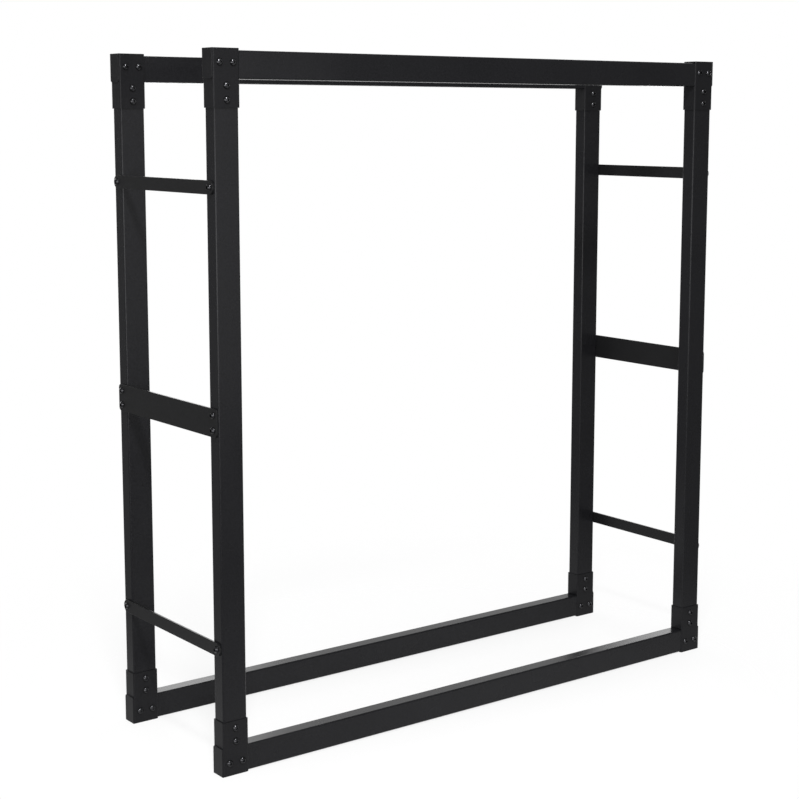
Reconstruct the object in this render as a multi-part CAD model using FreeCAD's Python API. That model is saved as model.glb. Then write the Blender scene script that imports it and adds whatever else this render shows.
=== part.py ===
import FreeCAD, Part
import math
import os

# Firewood rack of black coated steel: a front and a rear frame of rectangular tube,
# bolted together at the corners by sleeve brackets and tied to each other by flat bars.
# Millimetres. X runs along the rack, Y from front to back, Z up.
# The origin is the middle of the footprint, on the floor.

# Overall sizes, measured over the tubes
frame_length = 1000.0
frame_depth = 300.0
frame_height = 1050.0

# Rectangular tube of the uprights and rails
tube_width = 40.0
tube_depth = 25.0
tube_wall = 1.2
tube_corner_radius = 2.5

# Sleeve brackets folded from sheet
bracket_wall = 1.4
bracket_fit = 0.1
bracket_bend_radius = 2.5
bracket_edge_radius = 0.8
sleeve_length = 41.0
flap_thickness = 1.8
flap_overlap = 1.5
flap_corner_radius = 4.0
flap_inset = 1.0
# The upper brackets sit this much higher on their tubes, which have settled towards the floor
upper_bracket_play = 1.5

# Flat bars between the front and the rear frame
brace_thickness = 3.0
brace_edge_radius = 0.5
narrow_brace_width = 20.0
wide_brace_width = 42.0
wide_brace_end = 10.0
wide_brace_corner_radius = 6.0
outer_brace_distance = 190.0

# Button-head bolts with a hexagon socket
bolt_diameter = 6.0
bolt_length = 15.0
bolt_head_diameter = 10.5
bolt_head_height = 3.3
bolt_head_rim = 0.5
bolt_head_flat_diameter = 5.6
bolt_hole_clearance = 0.3
socket_across_flats = 4.0
socket_depth = 2.0
rail_bolt_inset = 18.0
rail_bolt_pitch = 22.0
upright_bolt_inset = 10.0
upright_bolt_pitch = 20.0
wide_brace_bolt_pitch = 22.0

# Threaded inserts set in the tube walls
insert_diameter = 9.0
insert_length = 14.0
insert_collar_diameter = 12.0
insert_collar_length = 3.0
insert_hole_clearance = 0.05
thread_clearance = 0.1

# Cutting tools run past the faces that they cut by this much
overrun = 1.0

X_AXIS = FreeCAD.Vector(1, 0, 0)
Z_AXIS = FreeCAD.Vector(0, 0, 1)
FRONT = FreeCAD.Vector(0, -1, 0)

# Planes of the assembly. Bolt heads stand out at the front only, so the frames are
# set back by half a head and the origin stays in the middle of the whole footprint.
bracket_offset = bracket_fit + bracket_wall
left_face = -frame_length / 2
front_face = (bolt_head_height - frame_depth) / 2
rear_tube_face = front_face + frame_depth - tube_depth
rail_underside = bracket_offset
rail_top = rail_underside + frame_height
lower_joint = rail_underside + tube_width
upper_joint = rail_top - tube_width
mid_height = (rail_underside + rail_top) / 2
frame_faces = {"front": front_face, "rear": rear_tube_face}


def box(low, high):
    """Box between two corner points."""
    size = high - low
    return Part.makeBox(size.x, size.y, size.z, low)


def round_along(shape, axis, radius):
    """Fillet every straight edge that runs along the axis."""
    edges = [e for e in shape.Edges if abs(e.tangentAt(e.FirstParameter).dot(axis)) > 0.999]
    return shape.makeFillet(radius, edges)


def round_rim(shape, axis, level, radius):
    """Fillet the edges that lie in the plane at this level along the axis."""
    edges = []
    for edge in shape.Edges:
        ends = [vertex.Point.dot(axis) for vertex in edge.Vertexes]
        if max(abs(end - level) for end in ends) < 1e-6:
            edges.append(edge)
    return shape.makeFillet(radius, edges)


def mirror_x(shape):
    """The same piece at the other end of the rack."""
    return shape.mirror(FreeCAD.Vector(0, 0, 0), X_AXIS)


def upper(shape):
    """The same bracket at the top of the rack, raised by its play."""
    return shape.mirror(FreeCAD.Vector(0, 0, mid_height), Z_AXIS).translated(Z_AXIS * upper_bracket_play)


def facing(shape, point, direction):
    """Set a piece that was made along +Z at a point, facing along the direction."""
    placed = shape.copy()
    placed.Placement = FreeCAD.Placement(point, FreeCAD.Rotation(Z_AXIS, direction))
    return placed


def revolve(edges):
    """Solid of revolution about Z from the edges of a closed half section."""
    face = Part.Face(Part.Wire(Part.__sortEdges__(edges)))
    return face.revolve(FreeCAD.Vector(0, 0, 0), Z_AXIS, 360)


def half_section(points):
    """Points (radius, height) in the XZ plane."""
    return [FreeCAD.Vector(radius, 0, height) for radius, height in points]


def straight_edges(points):
    """Line edges that join the points in turn."""
    return [Part.makeLine(a, b) for a, b in zip(points, points[1:])]


def make_bolt():
    """Bolt along +Z with its seat at zero: domed head, hexagon socket and shank."""
    head_radius = bolt_head_diameter / 2
    flat_radius = bolt_head_flat_diameter / 2
    shank_radius = bolt_diameter / 2
    # The dome is part of a sphere whose middle is on the axis.
    rise = bolt_head_height - bolt_head_rim
    spread = head_radius ** 2 - flat_radius ** 2
    centre = (bolt_head_height + bolt_head_rim - spread / rise) / 2
    dome_radius = math.hypot(head_radius, bolt_head_rim - centre)
    rim_angle = math.atan2(bolt_head_rim - centre, head_radius)
    flat_angle = math.atan2(bolt_head_height - centre, flat_radius)
    middle_angle = (rim_angle + flat_angle) / 2
    dome_middle = (dome_radius * math.cos(middle_angle), centre + dome_radius * math.sin(middle_angle))
    outline = half_section([
        (flat_radius, bolt_head_height),
        (0, bolt_head_height),
        (0, -bolt_length),
        (shank_radius, -bolt_length),
        (shank_radius, 0),
        (head_radius, 0),
        (head_radius, bolt_head_rim),
    ])
    dome = half_section([(head_radius, bolt_head_rim), dome_middle, (flat_radius, bolt_head_height)])
    solid = revolve(straight_edges(outline) + [Part.Arc(*dome).toShape()])
    socket_radius = socket_across_flats / math.sqrt(3)
    socket_floor = bolt_head_height - socket_depth
    corners = []
    for corner in range(7):
        angle = math.radians(60 * corner)
        corners.append(FreeCAD.Vector(
            socket_radius * math.cos(angle), socket_radius * math.sin(angle), socket_floor))
    socket = Part.Face(Part.makePolygon(corners)).extrude(Z_AXIS * (socket_depth + overrun))
    return solid.cut(socket)


def make_insert():
    """Threaded insert along +Z: flush with the tube's face, its collar behind the wall."""
    bore = bolt_diameter / 2 + thread_clearance
    body = insert_diameter / 2
    collar = insert_collar_diameter / 2
    collar_end = -tube_wall - insert_collar_length
    outline = half_section([
        (bore, 0),
        (body, 0),
        (body, -tube_wall),
        (collar, -tube_wall),
        (collar, collar_end),
        (body, collar_end),
        (body, -insert_length),
        (bore, -insert_length),
        (bore, 0),
    ])
    return revolve(straight_edges(outline))


def drill(shape, point, direction, radius, depth):
    """Round hole that starts outside the face at the point and goes in by the depth."""
    start = point + direction * overrun
    tool = Part.makeCylinder(radius, depth + overrun, start, direction * -1)
    return shape.cut(tool)


def make_tube(low, high, axis):
    """Rectangular tube with rounded corners, open at both ends along the axis."""
    across = FreeCAD.Vector(1, 1, 1) - axis
    inner_radius = max(tube_corner_radius - tube_wall, tube_wall / 4)
    outside = round_along(box(low, high), axis, tube_corner_radius)
    inset = across * tube_wall
    past_end = axis * overrun
    inside = round_along(box(low + inset - past_end, high - inset + past_end), axis, inner_radius)
    return outside.cut(inside)


def corner_bolt_spots(face):
    """Bolt places of the lower left corner: two on the rail and two on the upright."""
    middle = left_face + tube_width / 2
    rail_level = rail_underside + rail_bolt_inset
    first_level = lower_joint + upright_bolt_inset
    half_pitch = rail_bolt_pitch / 2
    rail = [FreeCAD.Vector(middle + shift, face, rail_level) for shift in (-half_pitch, half_pitch)]
    upright = [FreeCAD.Vector(middle, face, first_level + shift) for shift in (0, upright_bolt_pitch)]
    return rail, upright


def brace_bolt_spots(face):
    """Bolt places on the left side of one upright, one list for each brace from the floor up."""
    middle = face + tube_depth / 2
    lowest = rail_underside + outer_brace_distance
    highest = rail_top - outer_brace_distance
    half_pitch = wide_brace_bolt_pitch / 2
    levels = [[lowest], [mid_height - half_pitch, mid_height + half_pitch], [highest]]
    return [[FreeCAD.Vector(left_face, middle, level) for level in group] for group in levels]


def upper_spots(spots):
    """The same places at the upper corner, raised with the bracket."""
    return [FreeCAD.Vector(spot.x, spot.y, 2 * mid_height + upper_bracket_play - spot.z) for spot in spots]


def make_upright(face):
    """Left upright between the rails, with the insert holes of its brackets and braces."""
    low = FreeCAD.Vector(left_face, face, lower_joint)
    high = FreeCAD.Vector(left_face + tube_width, face + tube_depth, upper_joint)
    upright = make_tube(low, high, Z_AXIS)
    hole_radius = insert_diameter / 2 + insert_hole_clearance
    front_spots, side_spots = upright_insert_spots(face)
    for spot in front_spots:
        upright = drill(upright, spot, FRONT, hole_radius, tube_wall + overrun)
    for spot in side_spots:
        upright = drill(upright, spot, X_AXIS * -1, hole_radius, tube_wall + overrun)
    return upright


def upright_insert_spots(face):
    """Insert places on the front and on the outer side of a left upright."""
    lower = corner_bolt_spots(face)[1]
    sides = [spot for group in brace_bolt_spots(face) for spot in group]
    return lower + upper_spots(lower), sides


def rail_insert_spots(face):
    """Insert places on the front of a bottom rail, at both ends."""
    left = corner_bolt_spots(face)[0]
    right = [FreeCAD.Vector(-spot.x, spot.y, spot.z) for spot in left]
    return left + right


def make_rail(face, underside, spots):
    """Rail over the full length, with the insert holes of its brackets."""
    low = FreeCAD.Vector(left_face, face, underside)
    high = FreeCAD.Vector(-left_face, face + tube_depth, underside + tube_width)
    rail = make_tube(low, high, X_AXIS)
    hole_radius = insert_diameter / 2 + insert_hole_clearance
    for spot in spots:
        rail = drill(rail, spot, FRONT, hole_radius, tube_wall + overrun)
    return rail


def make_bracket(face):
    """Lower left bracket: a sleeve round the upright, a pocket for the rail and an end flap."""
    fit = FreeCAD.Vector(bracket_fit, bracket_fit, bracket_fit)
    shell = FreeCAD.Vector(bracket_offset, bracket_offset, bracket_offset)
    corner = FreeCAD.Vector(left_face, face, rail_underside)
    sleeve_top = FreeCAD.Vector(left_face + tube_width, face + tube_depth, lower_joint + sleeve_length)
    outer_low = corner - shell
    outer_high = sleeve_top + FreeCAD.Vector(bracket_offset, bracket_offset, 0)
    sleeve = round_along(box(outer_low, outer_high), Z_AXIS, bracket_bend_radius)
    sleeve = round_rim(sleeve, Z_AXIS, outer_low.z, bracket_edge_radius)
    flap_low = outer_low + FreeCAD.Vector(-flap_thickness, flap_inset, 0)
    flap_high = FreeCAD.Vector(
        outer_low.x + bracket_bend_radius, outer_high.y - flap_inset, lower_joint + flap_overlap)
    flap = make_flap(flap_low, flap_high)
    upright_room = box(corner - fit, sleeve_top + FreeCAD.Vector(bracket_fit, bracket_fit, overrun))
    inner_bend = max(bracket_bend_radius - bracket_wall, bracket_wall / 4)
    upright_room = round_along(upright_room, Z_AXIS, min(inner_bend, tube_corner_radius))
    rail_room = box(corner - fit, FreeCAD.Vector(
        outer_high.x + overrun,
        face + tube_depth + bracket_fit,
        lower_joint + bracket_fit + upper_bracket_play))
    bracket = sleeve.fuse(flap).removeSplitter()
    bracket = bracket.cut(upright_room).cut(rail_room)
    hole_radius = bolt_diameter / 2 + bolt_hole_clearance
    rail_spots, upright_spots = corner_bolt_spots(outer_low.y)
    for spot in rail_spots + upright_spots:
        bracket = drill(bracket, spot, FRONT, hole_radius, bracket_offset)
    return bracket


def make_flap(low, high):
    """Tab folded up over the open end of the rail, with its two upper corners rounded."""
    flap = box(low, high)
    upper = []
    for edge in flap.Edges:
        along = abs(edge.tangentAt(edge.FirstParameter).dot(X_AXIS)) > 0.999
        if along and edge.CenterOfMass.z > (low.z + high.z) / 2:
            upper.append(edge)
    flap = flap.makeFillet(flap_corner_radius, upper)
    return round_rim(flap, X_AXIS, low.x, bracket_edge_radius)


def rounded_plate(low, high, corner_radius):
    """Flat bar across X whose outline in YZ has rounded corners, up to half-round ends."""
    centres = [
        (high.y - corner_radius, high.z - corner_radius),
        (low.y + corner_radius, high.z - corner_radius),
        (low.y + corner_radius, low.z + corner_radius),
        (high.y - corner_radius, low.z + corner_radius),
    ]
    arcs = []
    for quarter, (centre_y, centre_z) in enumerate(centres):
        points = []
        for step in range(3):
            angle = math.radians(90 * quarter + 45 * step)
            points.append(FreeCAD.Vector(
                low.x,
                centre_y + corner_radius * math.cos(angle),
                centre_z + corner_radius * math.sin(angle)))
        arcs.append(points)
    edges = []
    for quarter, points in enumerate(arcs):
        edges.append(Part.Arc(*points).toShape())
        following = arcs[(quarter + 1) % len(arcs)][0]
        if points[2].distanceToPoint(following) > 1e-6:
            edges.append(Part.makeLine(points[2], following))
    return Part.Face(Part.Wire(edges)).extrude(X_AXIS * (high.x - low.x))


def make_brace(spots, width, end, corner_radius):
    """Left flat bar through its front and rear bolts, with a clearance hole for each."""
    half_width = width / 2
    outer_face = left_face - brace_thickness
    lowest = min(spot.z for spot in spots)
    highest = max(spot.z for spot in spots)
    middle = (lowest + highest) / 2
    first = min(spot.y for spot in spots)
    last = max(spot.y for spot in spots)
    low = FreeCAD.Vector(outer_face, first - end, middle - half_width)
    high = FreeCAD.Vector(left_face, last + end, middle + half_width)
    brace = rounded_plate(low, high, corner_radius)
    brace = round_rim(brace, X_AXIS, outer_face, brace_edge_radius)
    hole_radius = bolt_diameter / 2 + bolt_hole_clearance
    for spot in spots:
        seat = FreeCAD.Vector(outer_face, spot.y, spot.z)
        brace = drill(brace, seat, X_AXIS * -1, hole_radius, brace_thickness + overrun)
    return brace


def side_braces():
    """The three left braces and their bolt seats, by name."""
    front_groups = brace_bolt_spots(frame_faces["front"])
    rear_groups = brace_bolt_spots(frame_faces["rear"])
    narrow_end = narrow_brace_width / 2
    forms = {
        "lower_brace": (narrow_brace_width, narrow_end, narrow_end),
        "middle_brace": (wide_brace_width, wide_brace_end, wide_brace_corner_radius),
        "upper_brace": (narrow_brace_width, narrow_end, narrow_end),
    }
    braces = {}
    for (name, form), front_group, rear_group in zip(forms.items(), front_groups, rear_groups):
        spots = front_group + rear_group
        seats = [FreeCAD.Vector(left_face - brace_thickness, spot.y, spot.z) for spot in spots]
        braces[name] = (make_brace(spots, *form), seats)
    return braces


def set_of(piece, spots, direction):
    """Copies of one piece at the spots, as a group of separate solids."""
    return Part.Compound([facing(piece, spot, direction) for spot in spots])


bolt = make_bolt()
insert = make_insert()
left_pieces = {}
rails = {}

# The left half of each frame is made, then mirrored to the right end.
for frame_name, face in frame_faces.items():
    rail_spots, upright_spots = corner_bolt_spots(face - bracket_offset)
    bolt_spots = rail_spots + upright_spots
    bracket = make_bracket(face)
    left_pieces[frame_name + "_{side}_lower_bracket"] = bracket
    left_pieces[frame_name + "_{side}_upper_bracket"] = upper(bracket)
    left_pieces[frame_name + "_{side}_lower_bracket_bolts"] = set_of(bolt, bolt_spots, FRONT)
    left_pieces[frame_name + "_{side}_upper_bracket_bolts"] = set_of(bolt, upper_spots(bolt_spots), FRONT)
    front_spots, side_spots = upright_insert_spots(face)
    upright_inserts = [facing(insert, spot, FRONT) for spot in front_spots]
    upright_inserts += [facing(insert, spot, X_AXIS * -1) for spot in side_spots]
    left_pieces[frame_name + "_{side}_upright"] = make_upright(face)
    left_pieces[frame_name + "_{side}_upright_inserts"] = Part.Compound(upright_inserts)
    bottom_spots = rail_insert_spots(face)
    top_spots = upper_spots(bottom_spots)
    rails[frame_name + "_bottom_rail"] = make_rail(face, rail_underside, bottom_spots)
    rails[frame_name + "_top_rail"] = make_rail(face, upper_joint, top_spots)
    rails[frame_name + "_bottom_rail_inserts"] = set_of(insert, bottom_spots, FRONT)
    rails[frame_name + "_top_rail_inserts"] = set_of(insert, top_spots, FRONT)

# The braces tie the two frames together at each end of the rack.
brace_bolts = []
for name, (brace, seats) in side_braces().items():
    left_pieces["{side}_" + name] = brace
    brace_bolts += [facing(bolt, seat, X_AXIS * -1) for seat in seats]
left_pieces["{side}_brace_bolts"] = Part.Compound(brace_bolts)

nodes = dict(rails)
for name, piece in left_pieces.items():
    nodes[name.format(side="left")] = piece
    nodes[name.format(side="right")] = mirror_x(piece)

os.makedirs("parts", exist_ok=True)
for name, shape in nodes.items():
    shape.exportStep("parts/" + name + ".step")
    print(name, len(shape.Solids), "solids", round(shape.Volume), "mm3", shape.isValid())
whole = Part.Compound(list(nodes.values())).optimalBoundingBox(False, False)
print("box", whole.XMin, whole.XMax, whole.YMin, whole.YMax, whole.ZMin, whole.ZMax)
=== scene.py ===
import bpy
import math
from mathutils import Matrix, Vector

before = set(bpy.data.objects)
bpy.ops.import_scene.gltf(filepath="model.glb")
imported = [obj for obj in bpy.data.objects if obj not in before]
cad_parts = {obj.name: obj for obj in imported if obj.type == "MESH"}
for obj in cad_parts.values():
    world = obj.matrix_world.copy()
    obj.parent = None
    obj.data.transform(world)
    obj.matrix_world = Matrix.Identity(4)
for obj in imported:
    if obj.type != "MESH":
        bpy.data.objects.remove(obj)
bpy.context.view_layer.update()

# Uprights and rails: rectangular steel tube with rounded corners, cut to length,
# drilled for threaded inserts and powder coated black before the rack is packed flat.
# The rails run the full length and the uprights stand between them.
MM = 0.001


def linear(hex_colour):
    """sRGB hex colour as linear red, green, blue and alpha."""
    channels = [int(hex_colour[start:start + 2], 16) / 255 for start in (1, 3, 5)]
    curve = [c / 12.92 if c <= 0.04045 else ((c + 0.055) / 1.055) ** 2.4 for c in channels]
    return (*curve, 1.0)


def add_node(tree, kind, inputs, **settings):
    """Add a node, set its properties, and set or link each named input."""
    node = tree.nodes.new(kind)
    for name, value in settings.items():
        setattr(node, name, value)
    for socket, value in inputs.items():
        if isinstance(value, bpy.types.NodeSocket):
            tree.links.new(value, node.inputs[socket])
        else:
            node.inputs[socket].default_value = value
    return node


def empty_material(name):
    """New material with a bare node tree."""
    material = bpy.data.materials.new(name)
    material.use_nodes = True
    material.node_tree.nodes.clear()
    return material


def powder_coat(name, thin, thick, roughness, peel_size):
    """Baked polyester powder coat. It flows into a soft orange peel and keeps a fine grain, and
    its film drifts in tone and gloss, so that a broad face is never one flat black."""
    material = empty_material(name)
    tree = material.node_tree
    place = add_node(tree, "ShaderNodeTexCoord", {}).outputs["Object"]
    # The film's thickness drifts over about a hand's width, and its gloss drifts with it.
    drift_size = 90 * MM
    gloss_drift = 0.06
    drift = add_node(tree, "ShaderNodeTexNoise", {
        "Vector": place, "Scale": 1 / drift_size, "Detail": 3.0})
    film = add_node(tree, "ShaderNodeMix", {
        "Factor": drift.outputs["Fac"], "A": linear(thin), "B": linear(thick)}, data_type="RGBA")
    gloss = add_node(tree, "ShaderNodeMapRange", {
        "Value": drift.outputs["Fac"],
        "To Min": roughness - gloss_drift, "To Max": roughness + gloss_drift})
    # The real grain is about 0.2 mm; it is drawn at 2 mm so that it shows in the render.
    grain_size = 2 * MM
    grain_height = 0.012 * MM
    grain = add_node(tree, "ShaderNodeTexNoise", {
        "Vector": place, "Scale": 1 / grain_size, "Detail": 2.0})
    # Nearly all of a noise lies between its low and high; a speck is darker or lighter than the film.
    noise_low = 0.3
    noise_high = 0.7
    dark_speck = 0.75
    light_speck = 1.3
    speck = add_node(tree, "ShaderNodeMapRange", {
        "Value": grain.outputs["Fac"], "From Min": noise_low, "From Max": noise_high,
        "To Min": dark_speck, "To Max": light_speck})
    tone = add_node(tree, "ShaderNodeVectorMath", {
        0: film.outputs["Result"], 1: speck.outputs["Result"]}, operation="MULTIPLY")
    # Orange peel lies under the grain, in shallow waves a few millimetres across.
    peel_height = 0.02 * MM
    peel = add_node(tree, "ShaderNodeTexNoise", {
        "Vector": place, "Scale": 1 / peel_size, "Detail": 1.0})
    waves = add_node(tree, "ShaderNodeBump", {
        "Height": peel.outputs["Fac"], "Distance": peel_height, "Strength": 1.0})
    surface = add_node(tree, "ShaderNodeBump", {
        "Height": grain.outputs["Fac"], "Distance": grain_height, "Strength": 1.0,
        "Normal": waves.outputs["Normal"]})
    # The grain breaks up the gloss, so the coat mirrors less than a smooth film would.
    specular_level = 0.16
    shader = add_node(tree, "ShaderNodeBsdfPrincipled", {
        "Base Color": tone.outputs["Vector"], "Roughness": gloss.outputs["Result"],
        "Specular IOR Level": specular_level, "Normal": surface.outputs["Normal"]})
    add_node(tree, "ShaderNodeOutputMaterial", {"Surface": shader.outputs["BSDF"]})
    return material


def finish_nodes(ending, material):
    """Give the material to every node whose name ends this way."""
    for name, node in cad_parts.items():
        if name.endswith(ending):
            node.data.materials.clear()
            node.data.materials.append(material)


tube_coat = powder_coat(
    "satin_black_powder_coat_on_tube", thin="#151517", thick="#1a1a1c", roughness=0.27,
    peel_size=5 * MM)
finish_nodes("_upright", tube_coat)
finish_nodes("_rail", tube_coat)

# Threaded inserts: steel rivet nuts, squeezed into the tube walls behind the brackets and
# bars. Bright zinc plate gives them a pale, slightly cloudy shine, which shows only while
# the rack is apart.


def bright_metal(name, low, high, roughness, cloud_size, mark_height):
    """Plated or blackened steel: a metal whose tone and gloss cloud a little, with fine marks of
    the die, so that its shine is never quite even."""
    material = empty_material(name)
    tree = material.node_tree
    place = add_node(tree, "ShaderNodeTexCoord", {}).outputs["Object"]
    gloss_drift = 0.05
    cloud = add_node(tree, "ShaderNodeTexNoise", {
        "Vector": place, "Scale": 1 / cloud_size, "Detail": 3.0})
    tone = add_node(tree, "ShaderNodeMix", {
        "Factor": cloud.outputs["Fac"], "A": linear(low), "B": linear(high)}, data_type="RGBA")
    gloss = add_node(tree, "ShaderNodeMapRange", {
        "Value": cloud.outputs["Fac"],
        "To Min": roughness - gloss_drift, "To Max": roughness + gloss_drift})
    # The real marks are about 0.1 mm; they are drawn at 0.6 mm so that they show close up.
    mark_size = 0.6 * MM
    marks = add_node(tree, "ShaderNodeTexNoise", {
        "Vector": place, "Scale": 1 / mark_size, "Detail": 2.0})
    surface = add_node(tree, "ShaderNodeBump", {
        "Height": marks.outputs["Fac"], "Distance": mark_height, "Strength": 1.0})
    shader = add_node(tree, "ShaderNodeBsdfPrincipled", {
        "Base Color": tone.outputs["Result"], "Metallic": 1.0, "Roughness": gloss.outputs["Result"],
        "Normal": surface.outputs["Normal"]})
    add_node(tree, "ShaderNodeOutputMaterial", {"Surface": shader.outputs["BSDF"]})
    return material


zinc_plate = bright_metal(
    "bright_zinc_plate", low="#a9acad", high="#c2c4c3", roughness=0.32, cloud_size=4 * MM,
    mark_height=0.004 * MM)
finish_nodes("_inserts", zinc_plate)

# Corner brackets: sheet steel folded into a sleeve for the upright and a pocket for the
# rail, with a flap folded over the rail's end. They are coated in a batch of their own,
# which leaves them a little duller than the tubes.
bracket_coat = powder_coat(
    "satin_black_powder_coat_on_sheet", thin="#121214", thick="#171719", roughness=0.42,
    peel_size=4 * MM)
finish_nodes("_bracket", bracket_coat)

# Side bars: flat bar with rounded ends, punched and coated, bolted to the outer faces
# of the front and the rear uprights so that they tie the two frames together.
bar_coat = powder_coat(
    "satin_black_powder_coat_on_bar", thin="#141415", thick="#19191a", roughness=0.33,
    peel_size=5 * MM)
finish_nodes("_brace", bar_coat)

# Bolts: cold-headed steel with a domed head and a hexagon socket, blackened and oiled,
# so that each dome carries one small bright reflection.
black_oxide = bright_metal(
    "oiled_black_oxide", low="#363638", high="#404042", roughness=0.22, cloud_size=3 * MM,
    mark_height=0.003 * MM)
finish_nodes("_bolts", black_oxide)

# Floor: a plain pale sheet that keeps the rack's soft shadow and fades into the white
# backdrop about a metre out. The eye and the gloss see it nearly as white as the backdrop.
floor_size = 12.0
half = floor_size / 2
floor_corners = [(-half, -half, 0), (half, -half, 0), (half, half, 0), (-half, half, 0)]
floor_mesh = bpy.data.meshes.new("floor")
floor_mesh.from_pydata(floor_corners, [], [(0, 1, 2, 3)])
floor = bpy.data.objects.new("floor", floor_mesh)
bpy.context.scene.collection.objects.link(floor)
floor_paint = empty_material("pale_studio_floor")
floor_tree = floor_paint.node_tree
paint = add_node(floor_tree, "ShaderNodeBsdfDiffuse", {"Color": linear("#f4f4f4")})
glow = add_node(floor_tree, "ShaderNodeEmission", {"Color": linear("#ffffff"), "Strength": 1.0})
floor_rays = add_node(floor_tree, "ShaderNodeLightPath", {})
mirrored = add_node(floor_tree, "ShaderNodeMath", {
    0: floor_rays.outputs["Is Glossy Ray"], 1: floor_rays.outputs["Is Transmission Ray"]},
    operation="MAXIMUM")
seen = add_node(floor_tree, "ShaderNodeMath", {
    0: mirrored.outputs["Value"], 1: floor_rays.outputs["Is Camera Ray"]}, operation="MAXIMUM")
# This share of what is seen is plain white, and the rest is the paint with the shadow on it.
white_share = 0.75
whiteness = add_node(floor_tree, "ShaderNodeMath", {
    0: seen.outputs["Value"], 1: white_share}, operation="MULTIPLY")
white_floor = add_node(floor_tree, "ShaderNodeMixShader", {
    0: whiteness.outputs["Value"], 1: paint.outputs["BSDF"], 2: glow.outputs["Emission"]})
fade_start = 0.1
fade_end = 1.2
place = add_node(floor_tree, "ShaderNodeTexCoord", {}).outputs["Object"]
reach = add_node(floor_tree, "ShaderNodeVectorMath", {0: place}, operation="LENGTH")
fade = add_node(floor_tree, "ShaderNodeMapRange", {
    "Value": reach.outputs["Value"], "From Min": fade_start, "From Max": fade_end},
    interpolation_type="SMOOTHSTEP")
beyond = add_node(floor_tree, "ShaderNodeBsdfTransparent", {})
faded_floor = add_node(floor_tree, "ShaderNodeMixShader", {
    0: fade.outputs["Result"], 1: white_floor.outputs["Shader"], 2: beyond.outputs["BSDF"]})
add_node(floor_tree, "ShaderNodeOutputMaterial", {"Surface": faded_floor.outputs["Shader"]})
floor_mesh.materials.append(floor_paint)

# Studio: a white backdrop behind the rack in a dimmer room. The gloss shows the backdrop,
# and the camera sees white all round. Softboxes stand round the rack, and a small lamp high
# in front puts the bright point on each bolt.
world = bpy.data.worlds.new("studio")
world.use_nodes = True
studio_tree = world.node_tree
studio_tree.nodes.clear()
backdrop_heading = Vector((0.6, 0.8, 0.0))
look = add_node(studio_tree, "ShaderNodeTexCoord", {}).outputs["Generated"]
towards = add_node(studio_tree, "ShaderNodeVectorMath", {
    0: look, 1: backdrop_heading}, operation="DOT_PRODUCT")
# Cosines of the angle from the backdrop's heading, where it starts and where it is full white.
backdrop_start = 0.70
backdrop_full = 0.95
room_level = 0.29
backdrop = add_node(studio_tree, "ShaderNodeMapRange", {
    "Value": towards.outputs["Value"], "From Min": backdrop_start, "From Max": backdrop_full,
    "To Min": room_level, "To Max": 1.0}, interpolation_type="SMOOTHSTEP")
studio_rays = add_node(studio_tree, "ShaderNodeLightPath", {})
mirrored = add_node(studio_tree, "ShaderNodeMath", {
    0: studio_rays.outputs["Is Glossy Ray"], 1: studio_rays.outputs["Is Transmission Ray"]},
    operation="MAXIMUM")
mirrored_backdrop = add_node(studio_tree, "ShaderNodeMath", {
    0: mirrored.outputs["Value"], 1: backdrop.outputs["Result"]}, operation="MULTIPLY")
seen = add_node(studio_tree, "ShaderNodeMath", {
    0: mirrored_backdrop.outputs["Value"], 1: studio_rays.outputs["Is Camera Ray"]},
    operation="MAXIMUM")
level = add_node(studio_tree, "ShaderNodeMath", {
    0: seen.outputs["Value"], 1: room_level}, operation="MAXIMUM")
white_room = add_node(studio_tree, "ShaderNodeBackground", {
    "Color": linear("#ffffff"), "Strength": level.outputs["Value"]})
add_node(studio_tree, "ShaderNodeOutputWorld", {"Surface": white_room.outputs["Background"]})
bpy.context.scene.world = world


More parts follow.
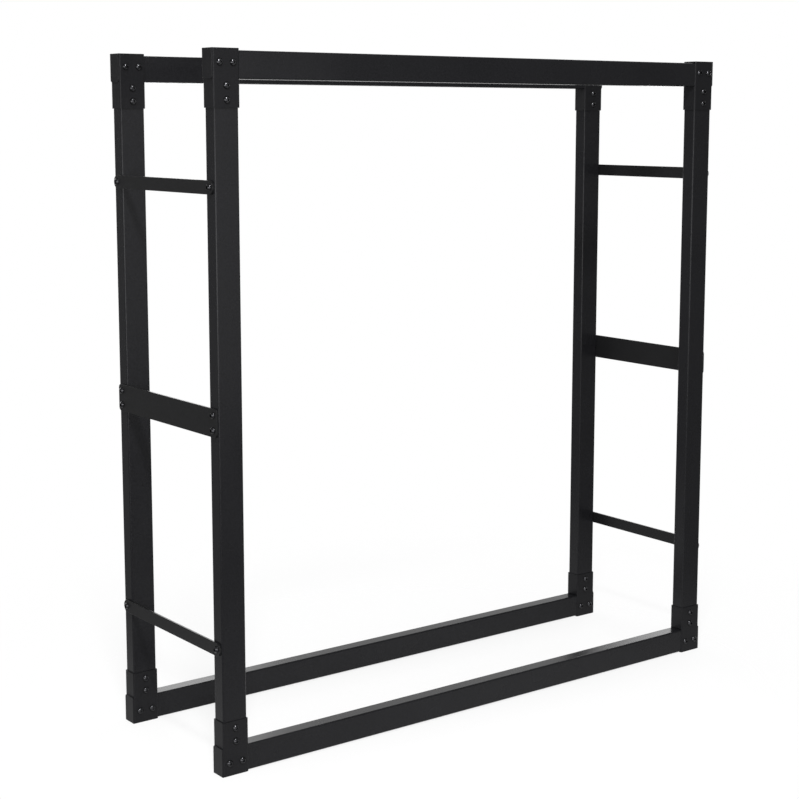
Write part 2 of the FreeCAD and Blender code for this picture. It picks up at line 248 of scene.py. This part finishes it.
def soft_lamp(name, place, target, width, height, watts):
    """Flat lamp of this width and height that faces a point on the rack."""
    lamp = bpy.data.lights.new(name, "AREA")
    lamp.shape = "RECTANGLE"
    lamp.size = width
    lamp.size_y = height
    lamp.energy = watts
    holder = bpy.data.objects.new(name, lamp)
    bpy.context.scene.collection.objects.link(holder)
    holder.location = place
    holder.rotation_mode = "QUATERNION"
    holder.rotation_quaternion = (Vector(target) - Vector(place)).to_track_quat("-Z", "Y")


soft_lamp("key_softbox", place=(-2.2, -1.8, 0.62), target=(-0.2, 0.0, 0.55),
          width=3.2, height=0.85, watts=46)
soft_lamp("bolt_lamp", place=(-1.3, -1.65, 2.85), target=(0.0, 0.0, 0.6),
          width=0.35, height=0.35, watts=74)
soft_lamp("front_softbox", place=(0.3, -2.4, 0.75), target=(-0.3, 0.0, 0.75),
          width=1.3, height=1.3, watts=7)
soft_lamp("left_softbox", place=(-2.8, 0.3, 1.2), target=(0.0, 0.0, 0.6),
          width=1.6, height=1.6, watts=6)
soft_lamp("right_softbox", place=(2.6, 0.9, 1.2), target=(0.0, 0.0, 0.6),
          width=2.0, height=2.0, watts=25)
soft_lamp("rear_softbox", place=(0.3, 2.8, 1.2), target=(0.0, 0.0, 0.6),
          width=2.0, height=2.0, watts=30)
soft_lamp("top_softbox", place=(0.0, -0.4, 3.0), target=(0.0, 0.0, 0.5),
          width=2.0, height=2.0, watts=8)

# Camera: at the photograph's viewing angle, to the left of the front and just under the
# top rail. A small vertical shift of the lens frames the rack as the photograph does.
frame_pixels = 799
focal_pixels = 1663.0
shift_pixels = -45
camera = bpy.data.cameras.new("camera")
camera.sensor_width = 36.0
camera.lens = focal_pixels / frame_pixels * camera.sensor_width
camera.shift_y = shift_pixels / frame_pixels
camera_yaw = 0.6454
camera_pitch = -0.1410
viewpoint = bpy.data.objects.new("camera", camera)
bpy.context.scene.collection.objects.link(viewpoint)
viewpoint.location = (-1.6953, -2.1630, 0.9572)
viewpoint.rotation_euler = (math.pi / 2 + camera_pitch, 0, -camera_yaw)
bpy.context.scene.camera = viewpoint
bpy.context.scene.view_settings.view_transform = "Standard"
